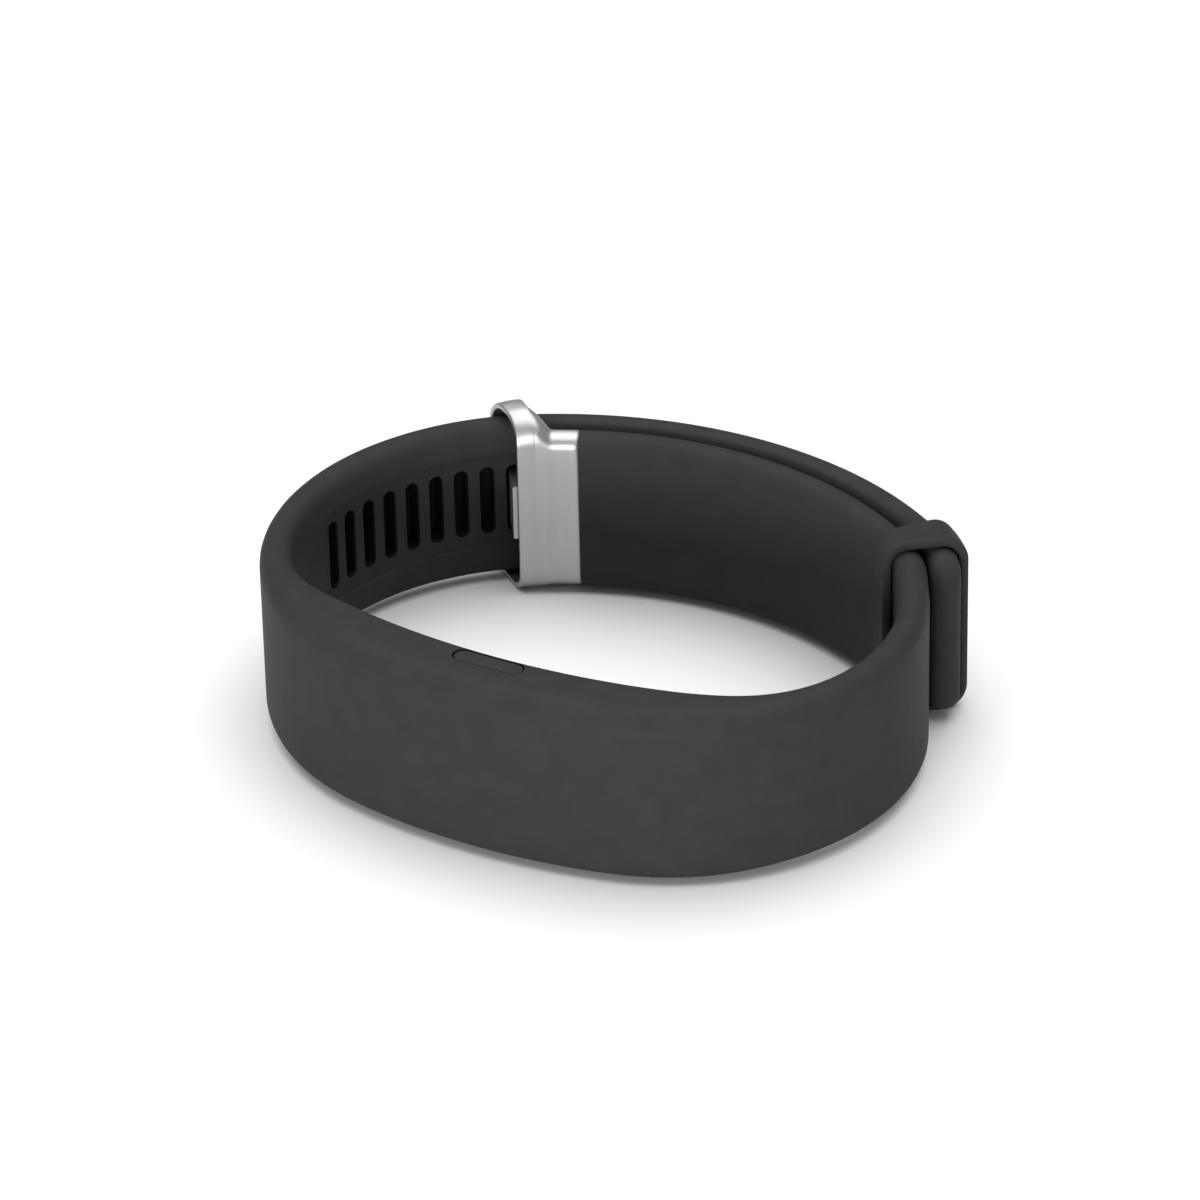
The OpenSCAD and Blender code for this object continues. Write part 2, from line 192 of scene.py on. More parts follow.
def finish_mesh(obj, sharp=32.0):
    """Closes up doubled points, turns faces outward and marks only true edges as sharp."""
    bm = bmesh.new()
    bm.from_mesh(obj.data)
    bmesh.ops.remove_doubles(bm, verts=bm.verts, dist=1e-7)
    bmesh.ops.dissolve_degenerate(bm, edges=bm.edges, dist=1e-7)
    bmesh.ops.recalc_face_normals(bm, faces=bm.faces)
    bm.to_mesh(obj.data)
    bm.free()
    obj.data.shade_smooth()
    obj.data.set_sharp_from_angle(angle=math.radians(sharp))


def loft(rings, closed=False):
    """Quads between rings of equal length. Open lofts get a flat face at each end."""
    n = len(rings[0])
    verts = [p for ring in rings for p in ring]
    faces = []
    last = len(rings) if closed else len(rings) - 1
    for k in range(last):
        a, b = k * n, ((k + 1) % len(rings)) * n
        for i in range(n):
            j = (i + 1) % n
            faces.append((a + i, a + j, b + j, b + i))
    if not closed:
        faces.append(tuple(range(n - 1, -1, -1)))
        faces.append(tuple(range((len(rings) - 1) * n, len(rings) * n)))
    return verts, faces


def apply_modifiers(obj):
    dg = bpy.context.evaluated_depsgraph_get()
    made = bpy.data.meshes.new_from_object(obj.evaluated_get(dg))
    obj.modifiers.clear()
    obj.data = made


def arc_points(cx, cz, r, a0, a1, n):
    """n + 1 points of a circle between two angles."""
    return [(cx + r * math.cos(math.radians(a0 + (a1 - a0) * k / n)),
             cz + r * math.sin(math.radians(a0 + (a1 - a0) * k / n))) for k in range(n + 1)]


def spread(a, b, n):
    """n points from a towards b, without b itself or a."""
    return [(a[0] + (b[0] - a[0]) * k / (n + 1), a[1] + (b[1] - a[1]) * k / (n + 1))
            for k in range(1, n + 1)]


def smooth(t):
    t = min(1.0, max(0.0, t))
    return t * t * (3 - 2 * t)


# ---- section outlines: (depth inward from the outer wall, height) ----
def section(d0, d1, z0, z1, radii, corner=7, face=7, edge=2):
    """Rounded outline. The radii are the outer low, outer high, inner high and inner low edges."""
    ol, oh, ih, il = radii
    pts = arc_points(d0 + ol, z0 + ol, ol, 270, 180, corner)
    pts += spread(pts[-1], (d0, z1 - oh), face)
    pts += arc_points(d0 + oh, z1 - oh, oh, 180, 90, corner)
    pts += spread(pts[-1], (d1 - ih, z1), edge)
    pts += arc_points(d1 - ih, z1 - ih, ih, 90, 0, corner)
    pts += spread(pts[-1], (d1, z0 + il), face)
    pts += arc_points(d1 - il, z0 + il, il, 0, -90, corner)
    pts += spread(pts[-1], pts[0], edge)
    return pts


def pill_outline(length, width, steps=14):
    """A pill's outline in its own plane, long side along the first axis."""
    r, a = width / 2, (length - width) / 2
    return arc_points(a, 0, r, -90, 90, steps) + arc_points(-a, 0, r, 90, 270, steps)


def inset_for_round(a, r):
    """How far a rounded end of radius r stands in from full width, a distance a from its tip."""
    return r - math.sqrt(max(0.0, r * r - (r - a) ** 2)) if a < r else 0.0


# ---- the silicone band: one moulding from the tail's tip round to the short strap's end ----
TAIL_CORNER = 3.0      # corner of the strap's tip, seen from outside
TOP_OUTER, LOW_OUTER, INNER_EDGE = 2.9, 1.9, 1.3
PLATE_SEAT = SHEET_T + 0.05
BODY_BLEND = 2.6       # extra thickness by which the strap has grown into the front section


def steps(a, b, step):
    n = max(2, int(abs(b - a) / step))
    return [a + (b - a) * k / n for k in range(n)]


def band_stations():
    """(outer wall point, outward normal, thickness, distance from the tip) along the moulding.

    A negative distance is how far the strap is let in, to seat the clasp's plate."""
    out = []

    def add(arc, h, depth, t=STRAP_T):
        out.append([arc.point(h, depth), outward(h), t, FAR])

    tip_deg = math.degrees((TAIL_CORNER + 0.3) / TAIL_R)
    tip = steps(0, 1, 0.06)
    for u in tip:
        a = TAIL_CORNER * u * u + 0.012
        add(tail, tail.h1 + math.degrees(a / TAIL_R), 0)
        out[-1][3] = a
    for h in steps(tail.h1 + tip_deg, tail.h0, 1.6):
        add(tail, h, 0)
    for h in steps(back.h1, back.h0, 1.1):
        add(back, h, 0)
    for h in steps(side.h1, LEFT_JOIN_H, 1.1):
        add(side, h, 0)
    for h in steps(LEFT_JOIN_H, side.h0, 1.1):
        add(side, h, 0, thickness(side.point(h), outward(h)))
    for h in steps(front.h1, 180 + FRONT_RIGHT, 0.4):
        add(front, h, 0, thickness(front.point(h), outward(h)))
    for h in steps(right.h1, RIGHT_JOIN_H, 1.2):
        add(right, h, 0, thickness(right.point(h), outward(h)))
    for h in steps(RIGHT_JOIN_H, right.h0, 1.2):
        add(right, h, 0)
    for k in range(4):
        p = leave_p + run * (1 - k / 4) * along(tail.h1)
        out.append([p, outward(tail.h1), STRAP_T, FAR])
    for h in steps(tail.h1, tail.h0, 1.6):
        add(tail, h, SECOND)
    seat = back.h0 - PLATE_DEG
    for h in steps(back.h1, seat - 0.05, 1.1) + [seat - 0.05]:
        add(back, h, SECOND)
    for h in [seat - 0.03, back.h0 - 0.3]:
        add(back, h, SECOND)
        out[-1][3] = -PLATE_SEAT
    return out


def band_ring(p, n, t, a):
    body = smooth((t - STRAP_T) / BODY_BLEND)
    half = STRAP_T / 2
    z0 = STRAP_Z + (POCKET_Z - STRAP_Z) * body
    z1 = STRAP_TOP + (POCKET_TOP - STRAP_TOP) * body
    nose = inset_for_round(a, half) if a > 0 else -a
    sides = inset_for_round(a, TAIL_CORNER) if a > 0 else -a
    r = half - nose
    radii = [r + (LOW_OUTER - half) * body, r + (TOP_OUTER - half) * body,
             r + (INNER_EDGE - half) * body, r + (INNER_EDGE - half) * body]
    outline = section(nose, t - nose, z0 + sides, z1 - sides, radii)
    return [to_world(p - d * n, z) for d, z in outline]


def make_band(material):
    verts, faces = loft([band_ring(*s) for s in band_stations()])
    return mesh_object("band_silicone", verts, faces, material)


def join(obj, other):
    """Puts another closed shell into the same mesh."""
    bm = bmesh.new()
    bm.from_mesh(obj.data)
    bm.from_mesh(other.data)
    bm.to_mesh(obj.data)
    bm.free()
    bpy.data.objects.remove(other)


def subtract(obj, cutter):
    mod = obj.modifiers.new("cut", "BOOLEAN")
    mod.operation, mod.solver, mod.object = "DIFFERENCE", "EXACT", cutter
    mod.material_mode = "TRANSFER"
    apply_modifiers(obj)
    bpy.data.objects.remove(cutter)


def slot_places():
    """(arc, heading) of each slot along the strap."""
    count = int((FIRST_SLOT_H - side.h1) / SLOT_DEG) + 1
    step = SLOT_DEG * (SIDE_R - STRAP_T) / (BACK_R - STRAP_T)
    over = 1 - (FIRST_SLOT_H - (count - 1) * SLOT_DEG - side.h1) / SLOT_DEG
    spots = [(side, FIRST_SLOT_H - n * SLOT_DEG) for n in range(count)]
    spots += [(back, back.h0 - (n + over) * step) for n in range(SLOT_COUNT - count)]
    return spots, back.h0 - (SLOT_COUNT - count + over) * step


def slot_cutter(arc, h, material):
    """A pill-shaped cutter with a softened mouth and floor."""
    mouth = STRAP_T - CHANNEL_DEPTH
    floor = STRAP_T - SLOT_DEPTH
    levels = [(floor, -0.25), (floor + 0.06, -0.1), (floor + 0.2, 0), (mouth - 0.2, 0),
              (mouth - 0.1, 0.03), (mouth - 0.02, 0.12), (mouth + 0.1, 0.2), (STRAP_T + 1, 0.2)]
    rings = []
    for depth, grow in levels:
        centre = arc.point(h, depth)
        rings.append([to_world(centre + y * along(h), MID_Z + z)
                      for z, y in pill_outline(SLOT_H + 2 * grow, SLOT_W + 2 * grow)])
    verts, faces = loft(rings)
    return mesh_object("slot_cutter", verts, faces, material)


def channel_cutter(h_end, material):
    """The shallow recess the slots stand in, rounded at both ends."""
    length_side = math.radians(FIRST_SLOT_H + CHANNEL_LEAD - side.h1) * (SIDE_R - STRAP_T)
    length_back = math.radians(back.h0 - h_end) * (BACK_R - STRAP_T)
    total, corner = length_side + length_back, 2.6
    marks = sorted({corner * u * u for u in steps(0, 1, 0.1)}
                   | {total - corner * u * u for u in steps(0, 1, 0.1)}
                   | set(steps(corner, total - corner, 0.7)))
    floor, half = STRAP_T - CHANNEL_DEPTH, CHANNEL_W / 2
    rings = []
    for s in marks:
        on_side = s <= length_side
        arc = side if on_side else back
        turned = math.degrees((s if on_side else s - length_side) / (arc.radius - STRAP_T))
        h = (FIRST_SLOT_H + CHANNEL_LEAD if on_side else back.h0) - turned
        w = half - inset_for_round(min(s, total - s) + 0.01, corner)
        right_side = [(floor, w - 0.3), (floor + 0.1, w - 0.1), (floor + 0.28, w),
                      (STRAP_T - 0.1, w + 0.04), (STRAP_T + 0.02, w + 0.14),
                      (STRAP_T + 0.8, w + 0.2)]
        ring = right_side + [(d, -z) for d, z in reversed(right_side)]
        rings.append([to_world(arc.point(h, d), MID_Z + z) for d, z in ring])
    verts, faces = loft(rings)
    return mesh_object("channel_cutter", verts, faces, material)


def core_columns(length, height, r):
    """(x, half height) across a rounded rectangle centred on zero."""
    left = [(-length / 2 + r * (1 - math.cos(math.radians(a))),
             height / 2 - r * (1 - math.sin(math.radians(a)))) for a in range(0, 91, 10)]
    middle_part = [(x, height / 2) for x in
                   steps(-length / 2 + r, length / 2 - r, 1.0)[1:]]
    return left + middle_part + [(-x, z) for x, z in reversed(left)]


def core_cutter(material):
    """The room for the core, closed in front by the band's curved wall."""
    rings = []
    for x, half in core_columns(CORE_L + 2 * CORE_GAP, CORE_W + 2 * CORE_GAP,
                                CORE_CORNER + CORE_GAP):
        y = FRONT_R - math.sqrt((FRONT_R - FRONT_WALL) ** 2 - x * x)
        rings.append([to_world((x, y), MID_Z - half), to_world((x, y), MID_Z + half),
                      to_world((x, 20), MID_Z + half), to_world((x, 20), MID_Z - half)])
    verts, faces = loft(rings)
    return mesh_object("core_cutter", verts, faces, material)


def pill_stack(name, levels, material):
    """Pill outlines stacked up in Z at the key: (height, length, width) each."""
    rings = [[to_world((x, KEY_DEPTH + y), z) for x, y in pill_outline(l, w)]
             for z, l, w in levels]
    verts, faces = loft(rings)
    return mesh_object(name, verts, faces, material)


def key_well(material):
    gap, top = 0.2, POCKET_TOP
    l, w = KEY_L + gap, KEY_T + gap
    return pill_stack("key_cutter", [(MID_Z + CORE_W / 2 - 0.3, l, w), (top - 0.15, l, w),
                                     (top, l + 0.12, w + 0.12), (top + 1, l + 0.12, w + 0.12)],
                      material)


def band(silicone, slot_painted_shade):
    obj = make_band(silicone)
    spots, channel_end = slot_places()
    subtract(obj, channel_cutter(channel_end, silicone))
    # The slot and key-well cutters pass their near-black material to the walls they cut: painted
    # shade in those recesses.
    for arc, h in spots:
        subtract(obj, slot_cutter(arc, h, slot_painted_shade))
    subtract(obj, core_cutter(silicone))
    subtract(obj, key_well(slot_painted_shade))
    finish_mesh(obj)
    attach(obj, "band")
    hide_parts("band_pocket", "long_strap", "short_strap")
    return obj


def key_pad(silicone):
    foot, top = MID_Z + CORE_W / 2, POCKET_TOP - 0.05
    low = foot + 0.35
    levels = [(foot + 0.05, 5.5, 0.9), (foot + 0.1, 5.6, 1.0), (low, 5.6, 1.0),
              (low, KEY_L - 0.1, KEY_T - 0.1), (low + 0.05, KEY_L, KEY_T),
              (top - 0.16, KEY_L, KEY_T), (top - 0.06, KEY_L - 0.08, KEY_T - 0.08),
              (top, KEY_L - 0.3, KEY_T - 0.3)]
    obj = pill_stack("key_pad_soft", levels, silicone)
    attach(obj, "band_key")
    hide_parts("key_pad")
    return obj


# ---- hoops: the keeper and the clasp's ring ----
CROWN_FROM, CROWN_BLEND = 16.5, 3.5    # height where the crown starts, and where it is full


def hoop(name, arc, h0, h1, outer, inner, edge_r, material, along_steps=8, lean=None,
         crown=0.0):
    """A closed band round both strap layers, with its own edges rounded.

    lean gives the angle by which it shifts along the strap at a depth. crown is how far the
    free edge of its top dips from the line beside the plate."""
    length = math.radians(abs(h0 - h1)) * arc.radius
    wall = math.dist(outer[0], inner[0])
    rings = []
    for o, i in zip(outer, inner):
        ring = []
        for s, w in section(0, length, 0, wall, [edge_r] * 4, corner=4, face=0, edge=along_steps):
            t = w / wall
            d, z = i[0] + (o[0] - i[0]) * t, i[1] + (o[1] - i[1]) * t
            h = h0 + (h1 - h0) * s / length + (lean(d) if lean else 0.0)
            if z > MID_Z:
                z -= crown * (1 - s / length) ** 2 * smooth((z - CROWN_FROM) / CROWN_BLEND)
            ring.append(to_world(arc.point(h, d), z))
        rings.append(ring)
    verts, faces = loft(rings, closed=True)
    return mesh_object(name, verts, faces, material)


def keeper(silicone):
    top = STRAP_TOP + CLEAR
    outer = section(-CLEAR - KEEPER_WALL, BOTH + CLEAR + KEEPER_WALL, 0, top + KEEPER_WALL,
                    [2.8] * 4, corner=9)
    inner = section(-CLEAR, BOTH + CLEAR, SHEET_T, top, [1.8] * 4, corner=9)
    obj = hoop("keeper_soft", tail, tail.h0 - KEEPER_START, tail.h0 - KEEPER_START - KEEPER_DEG,
               outer, inner, 0.3, silicone)
    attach(obj, "keeper")
    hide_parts("keeper_loop")
    return obj


RING_TOP = STRAP_TOP + RING_RISE
RING_HIGH, RING_LOW = 3.4, 2.8      # the ring's outer corner radii, top and bottom
RING_CROWN = 0.35                   # how far the ring's free edge dips
LIP_RISE = 2.1                      # length over which the plate's lips sink from the ring


def ring_lean(depth):
    """The ring leans along the strap as it reaches out over both layers."""
    return RING_LEAN * max(0.0, PLATE_IN - depth) / (PLATE_IN + CLEAR + SHEET_T)


def c_outline(ends, plate_d, z_low, z_high, corners, half, arc_n=8):
    """A sheet bent into a C that is open outward: outer skin one way, inner skin back.

    ends and corners are (low, high): where each lip ends in depth, and its bend radius."""
    (end_low, end_high), (r_low, r_high) = ends, corners

    def skin(o):
        pts = [(end_high, z_high + o)]
        pts += spread(pts[0], (plate_d - r_high, z_high + o), 6)
        pts += arc_points(plate_d - r_high, z_high - r_high, r_high + o, 90, 0, arc_n)
        pts += spread((plate_d + o, z_high - r_high), (plate_d + o, z_low + r_low), 6)
        pts += arc_points(plate_d - r_low, z_low + r_low, r_low + o, 0, -90, arc_n)
        pts += spread((plate_d - r_low, z_low - o), (end_low, z_low - o), 6)
        return pts + [(end_low, z_low - o)]

    tip_low = arc_points(end_low, z_low, half, 270, 90, 4)[1:-1]
    tip_high = arc_points(end_high, z_high, half, 90, 270, 4)[1:-1]
    return skin(half) + tip_low + list(reversed(skin(-half))) + list(reversed(tip_high))


def clasp_plate(metal):
    """The plate round the short strap's end, its lips flowing down from the leaning ring."""
    half, plate_d = SHEET_T / 2, PLATE_IN + SHEET_T / 2
    fit = STRAP_T / 2 - half
    high, low = STRAP_TOP - half, STRAP_Z + half
    length, ring_width = math.radians(PLATE_DEG) * BACK_R, math.radians(RING_DEG) * SIDE_R
    marks = [-1.4, -0.7] + steps(0.0, LIP_RISE, 0.15) + steps(LIP_RISE, length - 0.2, 0.5)
    marks += [length - 0.2, length - 0.1, length - 0.03, length]
    rings = []
    for s in marks:
        u = min(1.0, max(0.0, s / LIP_RISE))
        left = 1 - smooth(u)
        thin = half * (1 - 0.35 * smooth((s - length + 0.2) / 0.2)) - (0.01 if s < 0 else 0.0)
        z_high, z_low = high + (RING_TOP - half - high) * left, low + (half - low) * left
        z_high -= RING_CROWN * (max(0.0, -s) / ring_width) ** 2
        r_high = fit + (RING_HIGH - half - fit) * left
        r_low = fit + (RING_LOW - half - fit) * left
        end = BOTH - STRAP_T / 2 - 0.3
        far_high = RING_HIGH - CLEAR - SHEET_T
        far_low = RING_LOW - CLEAR - SHEET_T
        reach = 1 - smooth(u ** 0.6)
        ends = (end + (far_low - end) * reach, end + (far_high - end) * reach)
        arc, h = (back, back.h0 - math.degrees(s / BACK_R)) if s >= 0 else \
            (side, side.h1 - math.degrees(s / SIDE_R))
        ring = c_outline(ends, plate_d, z_low, z_high, (r_low, r_high), thin)
        share = 1 - smooth(u ** 0.8)
        rings.append([to_world(arc.point(h + ring_lean(d) * share, d), z) for d, z in ring])
    verts, faces = loft(rings)
    return mesh_object("plate_part", verts, faces, metal)


def clasp(metal):
    outer_d0, outer_d1 = -CLEAR - SHEET_T, PLATE_IN + SHEET_T
    radii = [RING_LOW, RING_HIGH, RING_HIGH, RING_LOW]
    outer = section(outer_d0, outer_d1, 0, RING_TOP, radii, corner=12)
    inner = section(outer_d0 + SHEET_T, outer_d1 - SHEET_T, SHEET_T, RING_TOP - SHEET_T,
                    [r - SHEET_T for r in radii], corner=12)
    obj = hoop("clasp_metal", side, side.h1 + RING_DEG, side.h1, outer, inner, 0.2, metal,
               lean=ring_lean, crown=RING_CROWN)
    join(obj, clasp_plate(metal))
    finish_mesh(obj, 40)
    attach(obj, "band")
    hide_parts("clasp_ring")
    return obj


TOOTH_SLOT, TOOTH_T, TOOTH_H = 8, 0.9, 6.4


def tooth(metal):
    """The nub that stands in a slot, rounded at its tip."""
    h = FIRST_SLOT_H - TOOTH_SLOT * SLOT_DEG
    tip = STRAP_T - SLOT_DEPTH + 0.3
    rings = []
    for depth, back_off in [(tip, 0.3), (tip + 0.12, 0.12), (tip + 0.35, 0.0), (PLATE_IN, 0.0)]:
        outline = section(-TOOTH_T / 2 + back_off, TOOTH_T / 2 - back_off, -TOOTH_H / 2 + back_off,
                          TOOTH_H / 2 - back_off, [0.14] * 4, corner=3, face=1, edge=0)
        rings.append([to_world(side.point(h, depth) + y * along(h), MID_Z + z) for y, z in outline])
    verts, faces = loft(rings)
    obj = mesh_object("clasp_nub", verts, faces, metal)
    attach(obj, "band")
    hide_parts("clasp_tooth")
    return obj


# ---- materials ----
def material(name, dark, light, rough, rough_vary=0.06, grain=3000.0, bump=0.15, cloud=350.0,
             metallic=0.0, stretch=(1, 1, 1), specular=0.5, coat=0.0, sheen=0.0, ior=1.45,
             bump_depth=0.00004):
    """Procedural surface: clouded colour and roughness, with a fine grain as bump."""
    mat = bpy.data.materials.new(name)
    mat.use_nodes = True
    nt = mat.node_tree
    bsdf = nt.nodes["Principled BSDF"]
    coord = nt.nodes.new("ShaderNodeTexCoord")
    mapping = nt.nodes.new("ShaderNodeMapping")
    mapping.inputs["Scale"].default_value = stretch
    nt.links.new(coord.outputs["Object"], mapping.inputs["Vector"])

    def noise(scale, detail):
        node = nt.nodes.new("ShaderNodeTexNoise")
        node.inputs["Scale"].default_value = scale
        node.inputs["Detail"].default_value = detail
        nt.links.new(mapping.outputs["Vector"], node.inputs["Vector"])
        return node

    clouds, fine = noise(cloud, 4.0), noise(grain, 3.0)
    ramp = nt.nodes.new("ShaderNodeValToRGB")
    ramp.color_ramp.elements[0].position, ramp.color_ramp.elements[1].position = 0.3, 0.7
    ramp.color_ramp.elements[0].color = (*dark, 1)
    ramp.color_ramp.elements[1].color = (*light, 1)
    nt.links.new(clouds.outputs["Fac"], ramp.inputs["Fac"])
    nt.links.new(ramp.outputs["Color"], bsdf.inputs["Base Color"])
    spread_r = nt.nodes.new("ShaderNodeMapRange")
    spread_r.inputs["To Min"].default_value = rough - rough_vary
    spread_r.inputs["To Max"].default_value = rough + rough_vary
    nt.links.new(fine.outputs["Fac"], spread_r.inputs["Value"])
    nt.links.new(spread_r.outputs["Result"], bsdf.inputs["Roughness"])
    bumps = nt.nodes.new("ShaderNodeBump")
    bumps.inputs["Strength"].default_value = bump
    bumps.inputs["Distance"].default_value = bump_depth
    nt.links.new(fine.outputs["Fac"], bumps.inputs["Height"])
    nt.links.new(bumps.outputs["Normal"], bsdf.inputs["Normal"])
    bsdf.inputs["Metallic"].default_value = metallic
    bsdf.inputs["Specular IOR Level"].default_value = specular
    bsdf.inputs["Coat Weight"].default_value = coat
    bsdf.inputs["Sheen Weight"].default_value = sheen
    bsdf.inputs["IOR"].default_value = ior
    return mat


def grey(v, warm=0.0):
    return (v * (1 + warm), v, v * (1 - warm))


def make_materials():
    silicone = material("silicone_charcoal", grey(0.032), grey(0.0365), 0.55, 0.04,
                        grain=9000, bump=0.12, specular=0.05)
    return {
        "silicone": silicone,
        # Near-black silicone on the walls of the slots and the key well is painted shade, standing
        # in for the dark deep inside them.
        "slot_painted_shade": material("silicone_painted_slot_shade", grey(0.004), grey(0.006), 0.75, 0.05,
                              grain=9000, bump=0.1, specular=0.15),
        "brushed_metal": material("satin_steel", grey(0.41, 0.004), grey(0.45, 0.004), 0.43, 0.05,
                                  grain=2600, bump=0.08, metallic=1.0, stretch=(1.6, 1.6, 0.1),
                                  cloud=500, bump_depth=0.00001),
        "pins": material("pin_steel", grey(0.45), grey(0.52), 0.3, metallic=1.0, cloud=900),
        "housing": material("housing_plastic", grey(0.012), grey(0.017), 0.45, 0.05, specular=0.4),
        "key": material("key_plastic", grey(0.02), grey(0.028), 0.4, 0.05),
        "seal": material("seal_rubber", grey(0.035), grey(0.05), 0.7, 0.06, specular=0.3),
        "lens": material("smoked_lens", (0.004, 0.006, 0.007), (0.008, 0.011, 0.012), 0.08, 0.02,
                         bump=0.02, coat=0.6),
        "led": material("green_led", (0.10, 0.45, 0.12), (0.16, 0.6, 0.2), 0.3, coat=0.3),
        "silicon": material("photodiode_face", (0.05, 0.045, 0.09), (0.08, 0.07, 0.14), 0.22),
        "baffle": material("baffle_black", grey(0.008), grey(0.012), 0.8, 0.06, specular=0.2),
        "circuit": material("circuit_green", (0.01, 0.07, 0.03), (0.02, 0.12, 0.05), 0.35,
                            cloud=1400, bump=0.3),
        "flex": material("flex_amber", (0.42, 0.17, 0.02), (0.55, 0.25, 0.05), 0.3, cloud=1200),
        "switch": material("switch_black", grey(0.02), grey(0.03), 0.4),
        "chip": material("chip_epoxy", grey(0.015), grey(0.024), 0.55, bump=0.3),
        "can": material("tinned_steel", grey(0.52), grey(0.62), 0.28, metallic=1.0, cloud=900),
        "cell": material("cell_pouch", (0.55, 0.56, 0.58), (0.7, 0.71, 0.73), 0.33, metallic=0.9,
                         cloud=900, bump=0.4, grain=1500),
        "motor": material("motor_can", grey(0.5, 0.02), grey(0.6, 0.02), 0.25, metallic=1.0),
        "port": material("port_steel", grey(0.5), grey(0.6), 0.3, metallic=1.0, cloud=900),
        "coil": material("coil_copper", (0.6, 0.25, 0.1), (0.75, 0.36, 0.16), 0.35, metallic=1.0),
        "ceramic": material("ceramic_white", (0.6, 0.6, 0.56), (0.74, 0.74, 0.7), 0.45),
    }


# CAD nodes that keep their own shape: the slot each takes its finish from, and its edge bevel.
KEPT = {
    "clasp_pins": ("pins", 0.08), "power_key": ("key", 0.1), "tact_switch": ("switch", 0.1),
    "core_front_shell": ("housing", 0.12), "core_back_cover": ("housing", 0.12),
    "sensor_window": ("lens", 0.15), "sensor_leds": ("led", 0.08),
    "photodiode": ("silicon", 0.06), "light_baffle": ("baffle", 0.06),
    "sensor_board": ("circuit", 0.06), "sensor_flex": ("flex", 0.03),
    "main_board": ("circuit", 0.08), "processor_chip": ("chip", 0.08),
    "motion_sensor": ("chip", 0.08), "shield_can": ("can", 0.08), "battery": ("cell", 0.4),
    "vibration_motor": ("motor", 0.15), "usb_receptacle": ("port", 0.1),
    "nfc_antenna": ("coil", 0.02), "bluetooth_antenna": ("ceramic", 0.08),
    "status_leds": ("ceramic", 0.06),
}


def dress_kept(mats):
    for name, (slot, bevel) in KEPT.items():
        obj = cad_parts[name]
        obj.data.materials.clear()
        obj.data.materials.append(mats[slot])
        obj.data.polygons.foreach_set("material_index", [0] * len(obj.data.polygons))
        weld = obj.modifiers.new("weld", "WELD")
        weld.merge_threshold = 1e-6
        mod = obj.modifiers.new("soften", "BEVEL")
        mod.width, mod.segments, mod.limit_method = bevel * MM, 3, "ANGLE"
        mod.angle_limit = math.radians(40)
        mod.use_clamp_overlap = True


# ---- soft seals inside the core ----
SEAL_AXIS = {"key_seal": Vector((0, 0, 1)), "cover_gasket": Vector((0, 1, 0))}
KEY_SEAL_L, KEY_SEAL_W, KEY_SEAL_R, KEY_SEAL_DROP = 6.32, 1.42, 0.14, 1.25
GASKET_RIM, COVER_DEPTH, GASKET_T = 0.65, 1.1, 0.3


def tube_ring(name, path, radius, material, body, node, flat=1.0):
    """A closed seal of round section along a path of world points."""
    n = len(path)
    rings = []
    for k, p in enumerate(path):
        p = Vector(p)
        forward = (Vector(path[(k + 1) % n]) - Vector(path[k - 1])).normalized()
        side_way = forward.cross(SEAL_AXIS[node]).normalized()
        up = side_way.cross(forward).normalized()
        rings.append([p + side_way * radius * flat * math.cos(a) + up * radius * math.sin(a)
                      for a in [2 * math.pi * i / 10 for i in range(10)]])
    verts, faces = loft([[tuple(v) for v in ring] for ring in rings], closed=True)
    obj = mesh_object(name, verts, faces, material, sharp=60)
    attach(obj, body)
    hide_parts(node)
    return obj


def inner_wall_y(x, grow):
    """The inner wall of the front section moved outward by grow, at a given x."""
    for c, low, high in ((left_c, -FAR, turn_x(left_c)), (right_c, turn_x(right_c), FAR)):
        if low < x < high:
            return c[1] - math.sqrt(max(0.0, (INNER_SIDE_R + grow) ** 2 - (x - c[0]) ** 2))
    return inner_c[1] - math.sqrt((INNER_FRONT_R + grow) ** 2 - x * x)


def seals(mats):
    z = MID_Z + CORE_W / 2 - KEY_SEAL_DROP
    key_ring = pill_outline(KEY_SEAL_L, KEY_SEAL_W)
    path = [to_world((x, KEY_DEPTH + y), z) for x, y in key_ring]
    tube_ring("key_seal_ring", path, KEY_SEAL_R * MM, mats["seal"], "core", "key_seal")
    rim = GASKET_RIM
    columns = core_columns(CORE_L - 2 * rim, CORE_W - 2 * rim, CORE_CORNER - rim)
    depth = COVER_DEPTH + GASKET_T / 2
    loop = [(x, half) for x, half in columns] + [(x, -half) for x, half in reversed(columns)]
    path = [to_world((x, inner_wall_y(x, depth)), MID_Z + half) for x, half in loop]
    tube_ring("cover_seal_ring", path, GASKET_T / 2 * 0.97 * MM, mats["seal"], "core",
              "cover_gasket", flat=1.6)


# ---- stage, light and camera ----
AIM = Vector((-3.90, 5.99, 9.9))
AZIMUTH, ELEVATION, ROLL = 30.0, 30.0, -1.2556
DISTANCE, LENS = 668.1, 188.4
WORLD_LIGHT = 0.3
OVERHEAD_PLACE, OVERHEAD_SIZE, OVERHEAD_POWER = (-0.06, 0.16, 0.95), (1.3, 1.3), 14
LOW_PLACE, LOW_AIM, LOW_SIZE, LOW_POWER = (0.22, -0.80, 0.14), (0, 0, 0.01), (0.6, 0.16), 5.4
FLOOR_SIZE, FLOOR_DROP = 3.0, 1e-5


def floor():
    size, z = FLOOR_SIZE, -FLOOR_DROP
    verts = [(-size, -size, z), (size, -size, z), (size, size, z), (-size, size, z)]
    mat = material("floor_white", grey(0.86), grey(0.88), 0.75, 0.03, grain=60, bump=0.02,
                   cloud=4, specular=0.2)
    obj = mesh_object("floor", verts, [(0, 1, 2, 3)], mat)


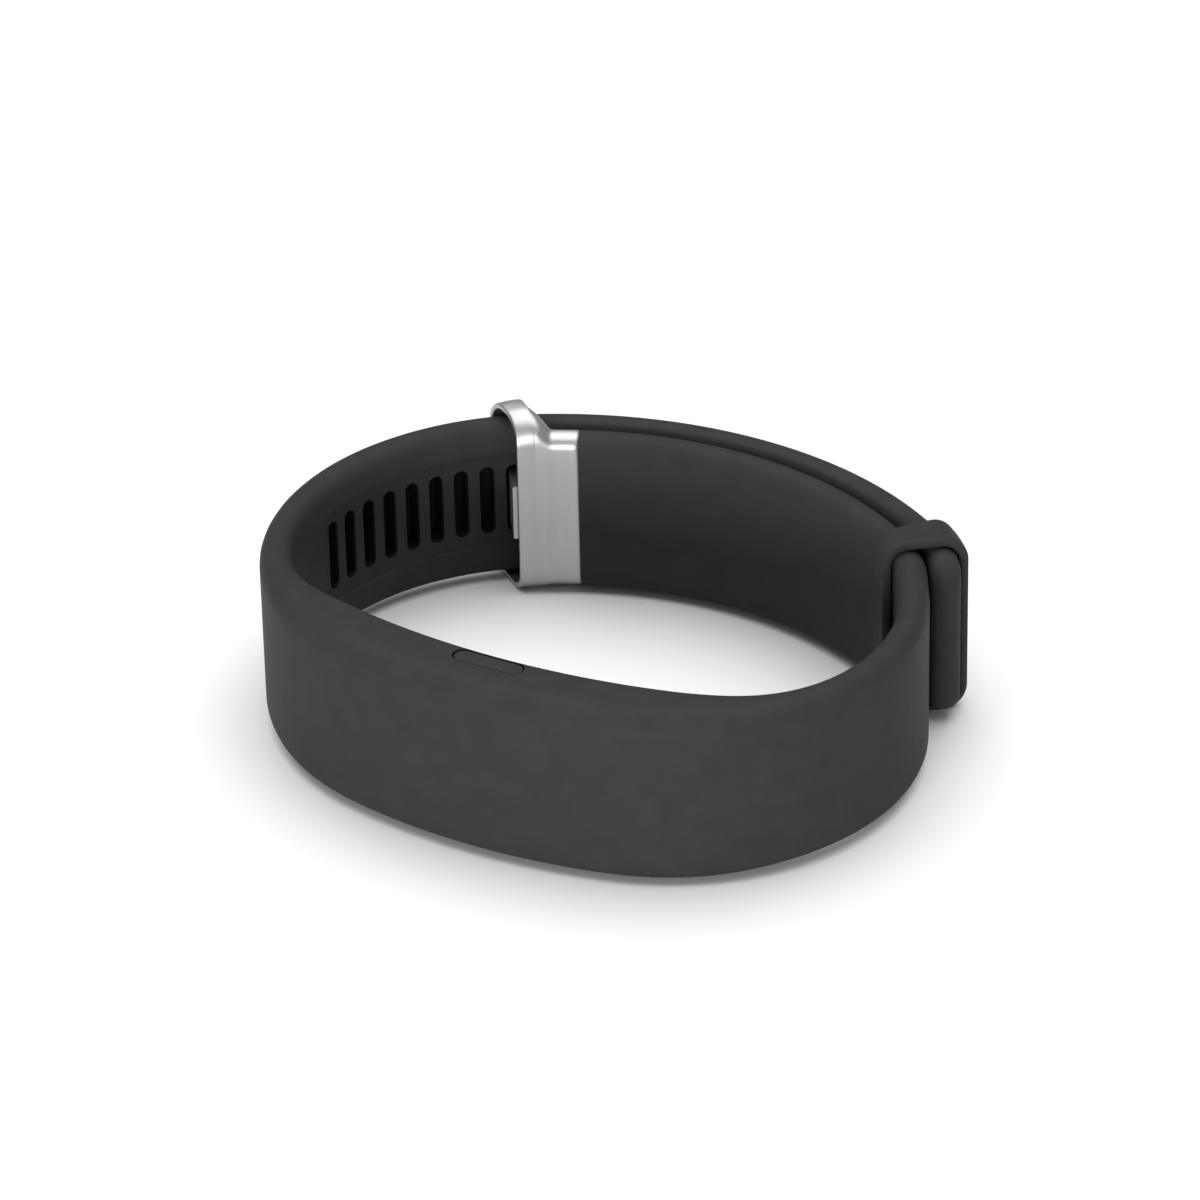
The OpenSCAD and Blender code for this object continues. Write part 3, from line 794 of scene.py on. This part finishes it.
def area_light(name, place, target, size, power):
    data = bpy.data.lights.new(name, "AREA")
    data.shape, data.size, data.size_y = "RECTANGLE", size[0], size[1]
    data.energy = power
    obj = bpy.data.objects.new(name, data)
    bpy.context.scene.collection.objects.link(obj)
    obj.location = place
    obj.rotation_mode = "QUATERNION"
    obj.rotation_quaternion = (Vector(target) - Vector(place)).to_track_quat("-Z", "Y")


def lights():
    world = bpy.data.worlds.new("studio")
    bpy.context.scene.world = world
    world.use_nodes = True
    world.node_tree.nodes["Background"].inputs["Color"].default_value = (1, 1, 1, 1)
    world.node_tree.nodes["Background"].inputs["Strength"].default_value = WORLD_LIGHT
    area_light("overhead", OVERHEAD_PLACE, (0, 0, 0), OVERHEAD_SIZE, OVERHEAD_POWER)
    area_light("low_front", LOW_PLACE, LOW_AIM, LOW_SIZE, LOW_POWER)


def camera():
    a, e, r = (math.radians(v) for v in (AZIMUTH, ELEVATION, ROLL))
    fwd = Vector((-math.sin(a) * math.cos(e), math.cos(a) * math.cos(e), -math.sin(e)))
    level = Vector((math.cos(a), math.sin(a), 0))
    rise = level.cross(fwd)
    x = level * math.cos(r) + rise * math.sin(r)
    y = rise * math.cos(r) - level * math.sin(r)
    data = bpy.data.cameras.new("photo_camera")
    data.lens, data.sensor_width = LENS, 36.0
    data.clip_start, data.clip_end = 0.01, 20.0
    obj = bpy.data.objects.new("photo_camera", data)
    bpy.context.scene.collection.objects.link(obj)
    place = (AIM - fwd * DISTANCE) * MM
    obj.matrix_world = Matrix(((x[0], y[0], -fwd[0], place[0]), (x[1], y[1], -fwd[1], place[1]),
                               (x[2], y[2], -fwd[2], place[2]), (0, 0, 0, 1)))
    bpy.context.scene.camera = obj


mats = make_materials()
band(mats["silicone"], mats["slot_painted_shade"])
key_pad(mats["silicone"])
keeper(mats["silicone"])
clasp(mats["brushed_metal"])
tooth(mats["brushed_metal"])
dress_kept(mats)
seals(mats)
floor()
lights()
camera()
bpy.context.scene.view_settings.view_transform = "Standard"
